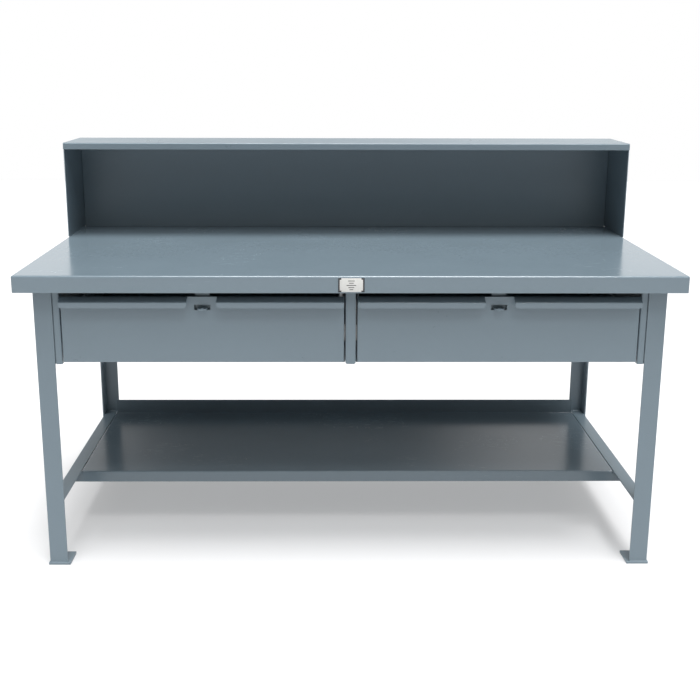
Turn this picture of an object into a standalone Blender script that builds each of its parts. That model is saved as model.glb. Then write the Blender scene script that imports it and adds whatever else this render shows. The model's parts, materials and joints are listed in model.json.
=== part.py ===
"""Heavy steel workbench with a riser shelf, two drawers on telescopic slides and a lower shelf.

Metres, +Z up. The origin is on the floor under the middle of the worktop. The front faces -Y.
Every piece is one folded sheet, one rolled angle or one plate, placed by its own location.
"""

import math

import bmesh
import bpy
from mathutils import Vector

# Worktop, a pan folded from plate with its aprons turned down
TOP_WIDTH = 1.8288
TOP_DEPTH = 0.9144
TOP_HEIGHT = 0.8636
APRON_DEPTH = 0.047
TOP_PLATE = 0.0048
TOP_BEND = 0.0056

# Sheet and plate gauges, and the gap that touching pieces keep
SHEET = 0.0027
THIN_SHEET = 0.0015
FRONT_SHEET = 0.0019
SHEET_BEND = 0.0042
GAP = 0.0003

# Riser shelf that stands on the back of the worktop
RISER_HEIGHT = 0.3048
RISER_DEPTH = 0.2490
RISER_LIP = 0.0208
RISER_RETURN = 0.025
BEND_CLEARANCE = 0.0015

# Legs, rolled angle with the corner outermost
LEG_FLANGE = 0.0508
LEG_THICKNESS = 0.0048
LEG_OUTER_X = 0.8703
LEG_FRONT_Y = -0.4134
LEG_BACK_Y = 0.4357
FOOT_THICKNESS = 0.0064
FOOT_WIDTH = 0.0635
FOOT_DEPTH = 0.0762
FOOT_PROUD = 0.0040

# Rails that tie the legs together, lighter rolled angle
RAIL_FLANGE = 0.0381
RAIL_TOP_Z = 0.1905
RAIL_END_GAP = 0.0048

# Channels under the worktop
CHANNEL_WIDTH = 0.060
CHANNEL_YS = {"front": -0.220, "middle": 0.080, "rear": 0.270}
CHANNEL_HALF_LENGTH = 0.822

# Lower shelf, a pan between the side rails
SHELF_HALF_WIDTH = 0.8265
SHELF_FRONT_Y = -0.1650
SHELF_BACK_Y = 0.4085
SHELF_FRONT_DROP = 0.0342
SHELF_BACK_LIP = 0.0485
SHELF_SIDE_DROP = 0.0200
SHELF_LIP_HALF_WIDTH = 0.8592
SHELF_LIP_TOP_Z = 0.1815
CLEAT_FLANGE = 0.0300
CLEAT_LENGTH = 0.060
CLEAT_YS = {"front": -0.060, "rear": 0.300}

# Drawer bay: outer panels, the divider and the slides that they carry
PANEL_INNER_X = 0.7995
PANEL_FLANGE = 0.0166
PANEL_BOTTOM_Z = 0.6052
PANEL_BACK_Y = 0.1150
STRIP_INNER_X = 0.8030
STRIP_OUTER_X = 0.8480
DIVIDER_HALF_WIDTH = 0.0142
DIVIDER_BOTTOM_BEND = 0.0055
LEDGE_REACH = 0.0200
LEDGE_RISE = 0.0340
LEDGE_FRONT_Y = -0.3940
LEDGE_BACK_Y = 0.1050
SLIDE_THICKNESS = 0.0127
SLIDE_HEIGHT = 0.0457
SLIDE_Z = 0.6921
SLIDE_FRONT_Y = -0.3960
SLIDE_LENGTH = 0.5080

# Drawers
FRONT_Y = -0.4134
FRONT_INNER_X = 0.0180
FRONT_OUTER_X = 0.7972
FRONT_BOTTOM_Z = 0.6105
FRONT_TOP_Z = 0.7975
FRONT_RETURN = 0.0160
FRONT_CORNER = 0.0040
TRAY_BOTTOM_Z = 0.6160
TRAY_HEIGHT = 0.1340
TRAY_LENGTH = 0.5080

# Pulls, one each side of the drawer's lock slot
PULL_REACH = 0.0266
PULL_LIP_TOP_Z = 0.7865
PULL_LIP_BOTTOM_Z = 0.7706
PULL_MIDDLE_GAP = 0.0811
PULL_END_INSET = 0.0010
PULL_CORNER = 0.0080
PULL_WELD_GAP = 0.0008

# Padlock tab that passes through the slot in each drawer front
SLOT_WIDTH = 0.0435
SLOT_BOTTOM_Z = 0.7603
SLOT_TOP_Z = 0.7747
TAB_THICKNESS = 0.0040
TAB_WIDTH = 0.0290
TAB_TOP_Z = 0.7663
TAB_REACH = 0.0180
TAB_HOLE = 0.0095
BRACKET_WIDTH = 0.0400
BRACKET_TOP_Z = 0.8500

# Nameplate
PLATE_WIDTH = 0.071
PLATE_HEIGHT = 0.038
PLATE_THICKNESS = 0.0008
PLATE_Z = 0.8390

# Angles that turn a profile drawn in X and Y, and extruded along Z, to lie along each axis
ALONG_X = (math.pi / 2, 0, math.pi / 2)
ALONG_Y = (math.pi / 2, 0, 0)
ALONG_Z = (0, 0, 0)

SIDES = (("left", -1), ("right", 1))
ENDS = (("front", -1), ("rear", 1))
UNDER_TOP_Z = TOP_HEIGHT - TOP_PLATE - GAP
FRAME_BOTTOM_Z = UNDER_TOP_Z - RAIL_FLANGE
BAY_TOP_Z = FRAME_BOTTOM_Z - GAP


def clear_scene():
    """Start from nothing, whatever file the script runs in."""
    for thing in list(bpy.data.objects):
        bpy.data.objects.remove(thing, do_unlink=True)


def make_material(name, colour, roughness, metallic=0.0):
    """A plain Principled finish."""
    material = bpy.data.materials.new(name)
    material.use_nodes = True
    shader = material.node_tree.nodes["Principled BSDF"]
    shader.inputs["Base Color"].default_value = (*colour, 1.0)
    shader.inputs["Roughness"].default_value = roughness
    shader.inputs["Metallic"].default_value = metallic
    return material


def grey_paint(name):
    """Blue-grey semi-gloss machine enamel."""
    return make_material(name, (0.20, 0.26, 0.30), 0.32)


def zinc(name):
    """Bright zinc plate on the drawer slides."""
    return make_material(name, (0.62, 0.63, 0.62), 0.35, 1.0)


def make_empty(name, location, parent=None):
    """A joint's reference point."""
    empty = bpy.data.objects.new(name, None)
    bpy.context.scene.collection.objects.link(empty)
    empty.location = location
    empty.parent = parent
    return empty


def make_piece(name, bm, location, finish=grey_paint, turn=ALONG_Z, parent=None):
    """Turn a bmesh into a named object at a place given in world coordinates."""
    bmesh.ops.recalc_face_normals(bm, faces=bm.faces)
    mesh = bpy.data.meshes.new(name)
    bm.to_mesh(mesh)
    bm.free()
    mesh.shade_smooth()
    mesh.set_sharp_from_angle(angle=math.radians(35))
    piece = bpy.data.objects.new(name, mesh)
    mesh.materials.append(finish(name + "_finish"))
    bpy.context.scene.collection.objects.link(piece)
    piece.rotation_euler = turn
    piece.parent = parent
    piece.location = Vector(location) - (parent.location if parent else Vector((0, 0, 0)))
    return piece


def arc_points(centre, radius, start, sweep, steps):
    """Points along an arc, angles in radians."""
    points = []
    for step in range(steps + 1):
        angle = start + sweep * step / steps
        points.append(centre + radius * Vector((math.cos(angle), math.sin(angle))))
    return points


def bent_path(corners, radius, steps=6):
    """A path through the corners with each inner corner replaced by an arc."""
    corners = [Vector(corner) for corner in corners]
    path = [corners[0]]
    for before, corner, after in zip(corners, corners[1:], corners[2:]):
        arriving = (corner - before).normalized()
        leaving = (after - corner).normalized()
        turn = arriving.angle_signed(leaving)
        setback = radius * math.tan(abs(turn) / 2)
        side = -1 if turn > 0 else 1
        normal = Vector((-arriving.y, arriving.x)) * side
        centre = corner - arriving * setback + normal * radius
        start = math.atan2(-normal.y, -normal.x)
        path += arc_points(centre, radius, start, -turn, steps)
    return path + [corners[-1]]


def sheet_outline(corners, thickness, outer_bend, steps=6):
    """The closed outline of a sheet folded along its middle line."""
    path = bent_path(corners, outer_bend - thickness / 2, steps)
    left = []
    right = []
    for index, point in enumerate(path):
        before = path[max(index - 1, 0)]
        after = path[min(index + 1, len(path) - 1)]
        arriving = (point - before).normalized() if index else (after - point).normalized()
        leaving = (after - point).normalized() if index < len(path) - 1 else arriving
        along = (arriving + leaving).normalized()
        normal = Vector((-along.y, along.x))
        reach = thickness / 2 / normal.dot(Vector((-arriving.y, arriving.x)))
        left.append(point + normal * reach)
        right.append(point - normal * reach)
    return left + right[::-1]


def angle_outline(flange, thickness, fillet=0.0030, toe=0.0015):
    """A rolled angle: heel at 0, 0, flanges along +X and +Y, rounded root and toes."""
    quarter = math.pi / 2
    outline = [Vector((0, 0)), Vector((flange, 0))]
    outline += arc_points(Vector((flange - toe, thickness - toe)), toe, 0, quarter, 3)
    root = Vector((thickness + fillet, thickness + fillet))
    outline += arc_points(root, fillet, -quarter, -quarter, 3)
    outline += arc_points(Vector((thickness - toe, flange - toe)), toe, 0, quarter, 3)
    outline.append(Vector((0, flange)))
    return outline


def mirrored(outline, x_sign=1, y_sign=1):
    """An outline reflected to the other side."""
    return [Vector((point.x * x_sign, point.y * y_sign)) for point in outline]


def extruded(outline, length):
    """A prism of the outline, centred along its own Z."""
    bm = bmesh.new()
    loop = [bm.verts.new((point.x, point.y, -length / 2)) for point in outline]
    base = bm.faces.new(loop)
    grown = bmesh.ops.extrude_face_region(bm, geom=[base])
    top = [item for item in grown["geom"] if isinstance(item, bmesh.types.BMVert)]
    bmesh.ops.translate(bm, vec=(0, 0, length), verts=top)
    return bm


def block(size):
    """A box centred on its own origin."""
    bm = bmesh.new()
    bmesh.ops.create_cube(bm, size=1.0)
    bmesh.ops.scale(bm, vec=size, verts=bm.verts)
    return bm


def middle_of(edge):
    """The middle point of an edge."""
    return (edge.verts[0].co + edge.verts[1].co) / 2


def round_edges(bm, test, radius, segments=4):
    """Round the edges whose middle point passes the test."""
    edges = [edge for edge in bm.edges if test(middle_of(edge))]
    bmesh.ops.bevel(bm, geom=edges, offset=radius, segments=segments, profile=0.5,
                    affect="EDGES", material=-1)


def open_side(bm, direction):
    """Take away the flat faces that look one way."""
    direction = Vector(direction)
    faces = [face for face in bm.faces if face.normal.dot(direction) > 0.999]
    bmesh.ops.delete(bm, geom=faces, context="FACES")


def give_thickness(piece, thickness):
    """Thicken a skin inwards."""
    solidify = piece.modifiers.new("sheet", "SOLIDIFY")
    solidify.thickness = thickness
    solidify.offset = -1.0
    solidify.use_even_offset = True


def cut(piece, name, bm, location, parent=None):
    """Cut a shape out of a piece with a hidden cutter."""
    cutter = make_piece(name, bm, location, parent=parent)
    cutter.hide_render = True
    cutter.display_type = "WIRE"
    boolean = piece.modifiers.new("cut", "BOOLEAN")
    boolean.operation = "DIFFERENCE"
    boolean.solver = "EXACT"
    boolean.object = cutter


def joined(piece, other):
    """Weld a second solid to a piece, and use up the second object."""
    boolean = piece.modifiers.new("weld", "BOOLEAN")
    boolean.operation = "UNION"
    boolean.solver = "EXACT"
    boolean.object = other
    bpy.context.view_layer.update()
    graph = bpy.context.evaluated_depsgraph_get()
    welded = bpy.data.meshes.new_from_object(piece.evaluated_get(graph), depsgraph=graph)
    welded.name = piece.name
    piece.modifiers.clear()
    piece.data = welded
    bpy.data.objects.remove(other, do_unlink=True)


def build_worktop():
    """The folded worktop pan, open underneath."""
    bm = block((TOP_WIDTH, TOP_DEPTH, APRON_DEPTH))
    half_x, half_y, half_z = TOP_WIDTH / 2, TOP_DEPTH / 2, APRON_DEPTH / 2

    def folded(middle):
        on_top = middle.z > half_z * 0.99
        upright = abs(middle.x) > half_x * 0.99 and abs(middle.y) > half_y * 0.99
        return on_top or upright

    round_edges(bm, folded, TOP_BEND, 6)
    open_side(bm, (0, 0, -1))
    top = make_piece("worktop", bm, (0, 0, TOP_HEIGHT - half_z))
    give_thickness(top, TOP_PLATE)


def build_nameplate():
    """A small blank plate on the middle of the front apron."""
    bm = block((PLATE_WIDTH, PLATE_THICKNESS, PLATE_HEIGHT))
    y = -TOP_DEPTH / 2 - GAP - PLATE_THICKNESS / 2
    make_piece("nameplate", bm, (0, y, PLATE_Z), finish=white_plate)


def white_plate(name):
    """White enamel on thin aluminium."""
    return make_material(name, (0.85, 0.85, 0.83), 0.4)


def build_riser():
    """Cap, back and two sides, standing on the back of the worktop."""
    back_y = TOP_DEPTH / 2
    front_y = back_y - RISER_DEPTH
    cap_z = TOP_HEIGHT + RISER_HEIGHT
    half = SHEET / 2
    cap = sheet_outline(
        [(front_y + half, cap_z - RISER_LIP), (front_y + half, cap_z - half), (back_y, cap_z - half)],
        SHEET, SHEET_BEND)
    make_piece("riser_cap", extruded(cap, TOP_WIDTH), (0, 0, 0), turn=ALONG_X)

    floor_z = TOP_HEIGHT + GAP
    under_cap = cap_z - SHEET - GAP
    wall_front = front_y + SHEET + BEND_CLEARANCE
    side_x = TOP_WIDTH / 2 - half
    for side, sign in SIDES:
        wall = sheet_outline(
            [(side_x, wall_front), (side_x, back_y - half), (side_x - RISER_RETURN, back_y - half)],
            SHEET, SHEET_BEND)
        bm = extruded(mirrored(wall, x_sign=sign), under_cap - floor_z)
        make_piece(f"riser_{side}_side", bm, (0, 0, (under_cap + floor_z) / 2))

    panel_y = back_y - SHEET - GAP - half
    panel = sheet_outline(
        [(panel_y, floor_z), (panel_y, under_cap - half), (panel_y - RISER_RETURN, under_cap - half)],
        SHEET, SHEET_BEND)
    width = TOP_WIDTH - 2 * (SHEET + BEND_CLEARANCE)
    make_piece("riser_back", extruded(panel, width), (0, 0, 0), turn=ALONG_X)


def build_legs():
    """Four rolled-angle legs on foot plates."""
    length = UNDER_TOP_Z - FOOT_THICKNESS - GAP
    middle_z = FOOT_THICKNESS + GAP + length / 2
    corner_y = {"front": LEG_FRONT_Y, "rear": LEG_BACK_Y}
    for side, x_sign in SIDES:
        for end, y_sign in ENDS:
            heel = (LEG_OUTER_X * x_sign, corner_y[end])
            outline = mirrored(angle_outline(LEG_FLANGE, LEG_THICKNESS), -x_sign, -y_sign)
            make_piece(f"{end}_{side}_leg", extruded(outline, length), (*heel, middle_z))
            foot = block((FOOT_WIDTH, FOOT_DEPTH, FOOT_THICKNESS))
            round_edges(foot, lambda middle: abs(middle.z) < 0.001, 0.0020, 2)
            foot_x = heel[0] + x_sign * (FOOT_PROUD - FOOT_WIDTH / 2)
            foot_y = heel[1] + y_sign * (FOOT_PROUD - FOOT_DEPTH / 2)
            make_piece(f"{end}_{side}_foot_plate", foot, (foot_x, foot_y, FOOT_THICKNESS / 2))


def build_rails():
    """Side rails at shelf level and a frame of rails under the worktop."""
    rail_x = LEG_OUTER_X - LEG_THICKNESS - GAP
    front_y = LEG_FRONT_Y + LEG_THICKNESS + RAIL_END_GAP
    back_y = LEG_BACK_Y - LEG_THICKNESS - RAIL_END_GAP
    cross_front_y = LEG_FRONT_Y + LEG_THICKNESS + GAP
    cross_back_y = LEG_BACK_Y - LEG_THICKNESS - GAP
    angle = angle_outline(RAIL_FLANGE, LEG_THICKNESS)
    for side, sign in SIDES:
        outline = mirrored(angle, -sign, -1)
        lower = extruded(outline, back_y - front_y)
        place = (rail_x * sign, (back_y + front_y) / 2, RAIL_TOP_Z)
        make_piece(f"lower_{side}_rail", lower, place, turn=ALONG_Y)
        upper_front = cross_front_y + RAIL_FLANGE + RAIL_END_GAP
        upper_back = cross_back_y - RAIL_FLANGE - RAIL_END_GAP
        upper = extruded(outline, upper_back - upper_front)
        place = (rail_x * sign, (upper_back + upper_front) / 2, UNDER_TOP_Z)
        make_piece(f"upper_{side}_rail", upper, place, turn=ALONG_Y)
    length = 2 * (rail_x - RAIL_END_GAP)
    for end, sign in ENDS:
        y = cross_front_y if sign < 0 else cross_back_y
        outline = mirrored(angle, -sign, -1)
        make_piece(f"upper_{end}_rail", extruded(outline, length), (0, y, UNDER_TOP_Z), turn=ALONG_X)


def build_channels():
    """Open channels under the worktop, which stiffen it and carry the drawer bay."""
    half = SHEET / 2
    reach = CHANNEL_WIDTH / 2 - half
    outline = sheet_outline(
        [(-reach, UNDER_TOP_Z), (-reach, FRAME_BOTTOM_Z + half),
         (reach, FRAME_BOTTOM_Z + half), (reach, UNDER_TOP_Z)],
        SHEET, SHEET_BEND)
    for name, y in CHANNEL_YS.items():
        bm = extruded(outline, 2 * CHANNEL_HALF_LENGTH)
        make_piece(f"{name}_top_channel", bm, (0, y, 0), turn=ALONG_X)


def build_shelf():
    """Lower shelf pan on four cleats.

    The front and side edges turn down and the back edge turns up. The front lip runs on under
    the side rails.
    """
    half = SHEET / 2
    deck_z = RAIL_TOP_Z - half
    front_y = SHELF_FRONT_Y + half
    back_y = SHELF_BACK_Y - half
    long_way = sheet_outline(
        [(front_y, RAIL_TOP_Z - SHELF_FRONT_DROP), (front_y, deck_z),
         (back_y, deck_z), (back_y, RAIL_TOP_Z + SHELF_BACK_LIP)],
        SHEET, SHEET_BEND)
    shelf = make_piece("lower_shelf", extruded(long_way, 2 * (SHELF_HALF_WIDTH - SHEET_BEND)),
                       (0, 0, 0), turn=ALONG_X)
    edge_x = SHELF_HALF_WIDTH - half
    cross_way = sheet_outline(
        [(-edge_x, RAIL_TOP_Z - SHELF_SIDE_DROP), (-edge_x, deck_z),
         (edge_x, deck_z), (edge_x, RAIL_TOP_Z - SHELF_SIDE_DROP)],
        SHEET, SHEET_BEND)
    depth = SHELF_BACK_Y - SHELF_FRONT_Y - 2 * SHEET_BEND
    sides = make_piece("shelf_sides", extruded(cross_way, depth),
                       (0, (SHELF_BACK_Y + SHELF_FRONT_Y) / 2, 0), turn=ALONG_Y)
    joined(shelf, sides)
    lip_bottom_z = RAIL_TOP_Z - SHELF_FRONT_DROP
    lip = block((2 * SHELF_LIP_HALF_WIDTH, SHEET, SHELF_LIP_TOP_Z - lip_bottom_z))
    lip_place = (0, front_y, (SHELF_LIP_TOP_Z + lip_bottom_z) / 2)
    joined(shelf, make_piece("shelf_lip", lip, lip_place))

    cleat_top = RAIL_TOP_Z - LEG_THICKNESS - GAP
    for side, sign in SIDES:
        outline = mirrored(angle_outline(CLEAT_FLANGE, LEG_THICKNESS), sign, -1)
        for end, y in CLEAT_YS.items():
            bm = extruded(outline, CLEAT_LENGTH)
            place = ((SHELF_HALF_WIDTH + GAP) * sign, y, cleat_top)
            make_piece(f"shelf_{end}_{side}_cleat", bm, place, turn=ALONG_Y)


def build_bay():
    """The drawers' housing.

    Two outer panels, each with a strip behind the leg, and a closed divider with a ledge along the
    foot of each side.
    """
    half = SHEET / 2
    web_x = PANEL_INNER_X + half
    height = BAY_TOP_Z - PANEL_BOTTOM_Z
    middle_z = PANEL_BOTTOM_Z + height / 2
    for side, sign in SIDES:
        outline = sheet_outline(
            [(PANEL_INNER_X + PANEL_FLANGE, FRONT_Y + half), (web_x, FRONT_Y + half),
             (web_x, PANEL_BACK_Y - half), (PANEL_INNER_X + PANEL_FLANGE, PANEL_BACK_Y - half)],
            SHEET, SHEET_BEND)
        bm = extruded(mirrored(outline, x_sign=sign), height)
        make_piece(f"{side}_bay_panel", bm, (0, 0, middle_z))
        strip_y = LEG_FRONT_Y + LEG_THICKNESS + GAP + half
        strip = block((STRIP_OUTER_X - STRIP_INNER_X, SHEET, height))
        strip_place = ((STRIP_OUTER_X + STRIP_INNER_X) / 2 * sign, strip_y, middle_z)
        make_piece(f"{side}_bay_strip", strip, strip_place)

    length = PANEL_BACK_Y - FRONT_Y
    bm = block((2 * DIVIDER_HALF_WIDTH, length, height))

    def bottom_edge(middle):
        return middle.z < -height * 0.49 and abs(middle.y) < 0.001

    def end_edge(middle):
        return abs(middle.y) > length * 0.499 and middle.z < height * 0.49

    round_edges(bm, bottom_edge, DIVIDER_BOTTOM_BEND, 5)
    round_edges(bm, end_edge, 0.0026, 3)
    open_side(bm, (0, 0, 1))
    place = (0, (PANEL_BACK_Y + FRONT_Y) / 2, middle_z)
    divider = make_piece("centre_divider", bm, place)
    give_thickness(divider, FRONT_SHEET)

    inner_x = DIVIDER_HALF_WIDTH + GAP + THIN_SHEET / 2
    foot_z = PANEL_BOTTOM_Z + THIN_SHEET
    ledge = sheet_outline(
        [(inner_x, foot_z + LEDGE_RISE), (inner_x, foot_z), (inner_x + LEDGE_REACH, foot_z)],
        THIN_SHEET, 0.0030)
    for side, sign in SIDES:
        bm = extruded(mirrored(ledge, x_sign=sign), LEDGE_BACK_Y - LEDGE_FRONT_Y)
        place = (0, (LEDGE_BACK_Y + LEDGE_FRONT_Y) / 2, 0)
        make_piece(f"{side}_divider_ledge", bm, place, turn=ALONG_Y)


def slide_member(stand_off, half_height, toe):
    """One member's outline: its web stands off the fixed wall, its flanges end at the toe."""
    rise = half_height - THIN_SHEET / 2
    web = stand_off + THIN_SHEET / 2
    return sheet_outline([(toe, rise), (web, rise), (web, -rise), (toe, -rise)], THIN_SHEET, 0.0022, 3)


def build_slides(side, sign, drawer, carriage):
    """Fixed channel, middle carrier and moving bar of both slides of one drawer."""
    half_height = SLIDE_HEIGHT / 2
    members = (
        ("channel", slide_member(0, half_height, 0.0105), None),
        ("carrier", slide_member(0.0021, half_height - 0.0035, 0.0112), carriage),
        ("bar", slide_member(SLIDE_THICKNESS - THIN_SHEET, half_height - 0.0069, 0.0052), drawer),
    )
    walls = (("inner", DIVIDER_HALF_WIDTH + GAP, sign), ("outer", PANEL_INNER_X - GAP, -sign))
    middle_y = SLIDE_FRONT_Y + SLIDE_LENGTH / 2
    for wall, wall_x, away in walls:
        for member, outline, parent in members:
            bm = extruded(mirrored(outline, x_sign=away), SLIDE_LENGTH)
            place = (wall_x * sign, middle_y, SLIDE_Z)
            make_piece(f"{side}_drawer_{wall}_slide_{member}", bm, place,
                       finish=zinc, turn=ALONG_Y, parent=parent)


def build_front(side, sign, drawer):
    """Drawer front: a face with its sides and bottom turned back, and the lock slot."""
    width = FRONT_OUTER_X - FRONT_INNER_X
    height = FRONT_TOP_Z - FRONT_BOTTOM_Z
    middle_x = (FRONT_OUTER_X + FRONT_INNER_X) / 2 * sign
    bm = block((width, FRONT_RETURN, height))

    def folded(middle):
        at_front = middle.y < -FRONT_RETURN * 0.49 and middle.z < height * 0.49
        lower_corner = middle.z < -height * 0.49 and abs(middle.x) > width * 0.49
        return at_front or lower_corner

    round_edges(bm, folded, FRONT_CORNER)
    open_side(bm, (0, 1, 0))
    open_side(bm, (0, 0, 1))
    place = (middle_x, FRONT_Y + FRONT_RETURN / 2, (FRONT_TOP_Z + FRONT_BOTTOM_Z) / 2)
    front = make_piece(f"{side}_drawer_front", bm, place, parent=drawer)
    give_thickness(front, FRONT_SHEET)
    slot = block((SLOT_WIDTH, 4 * FRONT_SHEET, SLOT_TOP_Z - SLOT_BOTTOM_Z))
    slot_place = (middle_x, FRONT_Y, (SLOT_TOP_Z + SLOT_BOTTOM_Z) / 2)
    cut(front, f"{side}_slot_cutter", slot, slot_place, parent=drawer)


def build_pulls(side, sign, drawer):
    """Two hooked pulls along the top of a drawer front, with the lock slot between them."""
    half = FRONT_SHEET / 2
    face_y = FRONT_Y - PULL_WELD_GAP
    lip_y = FRONT_Y - PULL_REACH + half
    slope_top = (face_y, FRONT_TOP_Z - half)
    outline = sheet_outline(
        [slope_top, (lip_y, PULL_LIP_TOP_Z - half), (lip_y, PULL_LIP_BOTTOM_Z)],
        FRONT_SHEET, 0.0030)
    width = (FRONT_OUTER_X - FRONT_INNER_X - PULL_MIDDLE_GAP) / 2 - PULL_END_INSET
    middle_x = (FRONT_OUTER_X + FRONT_INNER_X) / 2
    for wall, away in (("inner", -1), ("outer", 1)):
        bm = extruded(outline, width)
        bottom = min(vert.co.y for vert in bm.verts)

        def lip_corner(middle):
            return middle.y < bottom + 0.0001 and abs(middle.z) > width * 0.49

        round_edges(bm, lip_corner, PULL_CORNER, 5)
        x = (middle_x + away * (PULL_MIDDLE_GAP + width) / 2) * sign
        make_piece(f"{side}_drawer_{wall}_pull", bm, (x, 0, 0), turn=ALONG_X, parent=drawer)


def build_tray(side, sign, drawer):
    """Open drawer tray between the slides."""
    inner_x = DIVIDER_HALF_WIDTH + SLIDE_THICKNESS + 2 * GAP
    outer_x = PANEL_INNER_X - SLIDE_THICKNESS - 2 * GAP
    front_y = FRONT_Y + FRONT_RETURN + GAP
    bm = block((outer_x - inner_x, TRAY_LENGTH, TRAY_HEIGHT))
    round_edges(bm, lambda middle: middle.z < TRAY_HEIGHT * 0.49, 0.0024, 3)
    open_side(bm, (0, 0, 1))
    place = ((outer_x + inner_x) / 2 * sign, front_y + TRAY_LENGTH / 2, TRAY_BOTTOM_Z + TRAY_HEIGHT / 2)
    tray = make_piece(f"{side}_drawer_tray", bm, place, parent=drawer)
    give_thickness(tray, THIN_SHEET)


def build_lock_tab(side, sign):
    """Bracket hung from the front rail, its drilled tab reaching out through the drawer's slot."""
    middle_x = (FRONT_OUTER_X + FRONT_INNER_X) / 2 * sign
    hang_y = LEG_FRONT_Y + 2 * LEG_THICKNESS + 2 * GAP
    height = BRACKET_TOP_Z - TAB_TOP_Z + TAB_THICKNESS
    plate = block((BRACKET_WIDTH, TAB_THICKNESS, height))
    place = (middle_x, hang_y + TAB_THICKNESS / 2, BRACKET_TOP_Z - height / 2)
    bracket = make_piece(f"{side}_padlock_tab", plate, place)

    nose = TAB_WIDTH / 2
    tip_y = FRONT_Y - TAB_REACH
    outline = [Vector((nose, hang_y + TAB_THICKNESS / 2)), Vector((-nose, hang_y + TAB_THICKNESS / 2))]
    outline += arc_points(Vector((0, tip_y + nose)), nose, math.pi, math.pi, 10)
    tab_place = (middle_x, 0, TAB_TOP_Z - TAB_THICKNESS / 2)
    tab = make_piece(f"{side}_tab_blank", extruded(outline, TAB_THICKNESS), tab_place)
    joined(bracket, tab)
    drill = bmesh.new()
    bmesh.ops.create_cone(drill, cap_ends=True, segments=20, radius1=TAB_HOLE / 2,
                          radius2=TAB_HOLE / 2, depth=4 * TAB_THICKNESS)
    cut(bracket, f"{side}_tab_drill", drill, (middle_x, tip_y + TAB_HOLE, tab_place[2]))


def build_drawers():
    """Both drawers with their slides, each on its own sliding axis."""
    for side, sign in SIDES:
        middle_x = (FRONT_OUTER_X + FRONT_INNER_X) / 2 * sign
        drawer = make_empty(f"{side}_drawer_axis", (middle_x, SLIDE_FRONT_Y, SLIDE_Z))
        carriage = make_empty(f"{side}_carriage_axis", (middle_x, SLIDE_FRONT_Y, SLIDE_Z))
        build_slides(side, sign, drawer, carriage)
        build_front(side, sign, drawer)
        build_pulls(side, sign, drawer)
        build_tray(side, sign, drawer)
        build_lock_tab(side, sign)


def main():
    clear_scene()
    build_worktop()
    build_nameplate()
    build_riser()
    build_legs()
    build_rails()
    build_channels()
    build_shelf()
    build_bay()
    build_drawers()


main()
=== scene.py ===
"""Looks for a heavy steel workbench with a riser shelf, two drawers and a lower shelf.

Lengths are metres. The bench stands on the floor and its front faces -Y. Every steel part is shown
by a copy of its solid with the edges eased and enamelled; welds, slide balls, rivets, hems and the
plate's marks are modelled here, and each rides with the body that it is fixed to.
"""

import json
import math

import bmesh
import bpy
from bpy.props import FloatProperty, FloatVectorProperty, IntProperty, PointerProperty
from bpy.types import Operator, Panel, PropertyGroup
from mathutils import Matrix, Vector

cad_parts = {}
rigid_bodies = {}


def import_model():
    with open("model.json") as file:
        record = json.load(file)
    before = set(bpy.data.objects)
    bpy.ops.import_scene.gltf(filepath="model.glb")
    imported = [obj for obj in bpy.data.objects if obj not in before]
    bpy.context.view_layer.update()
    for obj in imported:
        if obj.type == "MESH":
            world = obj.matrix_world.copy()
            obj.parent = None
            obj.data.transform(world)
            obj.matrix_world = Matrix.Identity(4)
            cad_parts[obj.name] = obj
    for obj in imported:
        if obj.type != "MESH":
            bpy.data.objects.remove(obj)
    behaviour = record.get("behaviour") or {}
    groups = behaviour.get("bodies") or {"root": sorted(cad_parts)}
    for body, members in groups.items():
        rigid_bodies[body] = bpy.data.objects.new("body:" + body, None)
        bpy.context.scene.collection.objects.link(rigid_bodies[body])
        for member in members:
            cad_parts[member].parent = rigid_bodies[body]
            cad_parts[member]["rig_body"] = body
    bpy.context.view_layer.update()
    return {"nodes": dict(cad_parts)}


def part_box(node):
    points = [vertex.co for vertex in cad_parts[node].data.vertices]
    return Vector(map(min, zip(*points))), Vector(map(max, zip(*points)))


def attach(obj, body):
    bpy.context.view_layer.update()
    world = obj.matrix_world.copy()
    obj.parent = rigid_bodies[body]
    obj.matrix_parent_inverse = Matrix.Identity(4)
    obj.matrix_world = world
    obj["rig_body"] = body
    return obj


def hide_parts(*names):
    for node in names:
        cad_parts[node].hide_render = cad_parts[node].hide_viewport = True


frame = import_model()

bl_info = {
    "name": "Steel Workbench Looks",
    "version": (1, 0, 0),
    "blender": (4, 5, 0),
    "location": "View3D > Sidebar > Workbench",
    "description": "Enamels and details a steel workbench around its packed design",
    "category": "Object",
}

MERGE = 0.00001
EDGE_FILM_AND_HIGHLIGHT = "edge_film_and_highlight"
ANGLE_WALL = 0.0048
BEAD_SIDES = 8
BEAD_TIP = 0.55
TRAY_SHEET = 0.0015
HEM_DROP = 0.011
HEM_FOLD = 0.0014
RIVET_RISE = 0.0016
RIVET_STEPS = 5
BALL_PLAY = 0.00005
CAGE_HALF_WIDTH = 0.0024
CAGE_HALF_SHEET = 0.0002
CHANNEL_WELD = 0.030
SIDES = (("left", -1), ("right", 1))
ENDS = (("front", -1), ("rear", 1))
WALLS = ("inner", "outer")


# ---------------------------------------------------------------- settings

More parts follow.
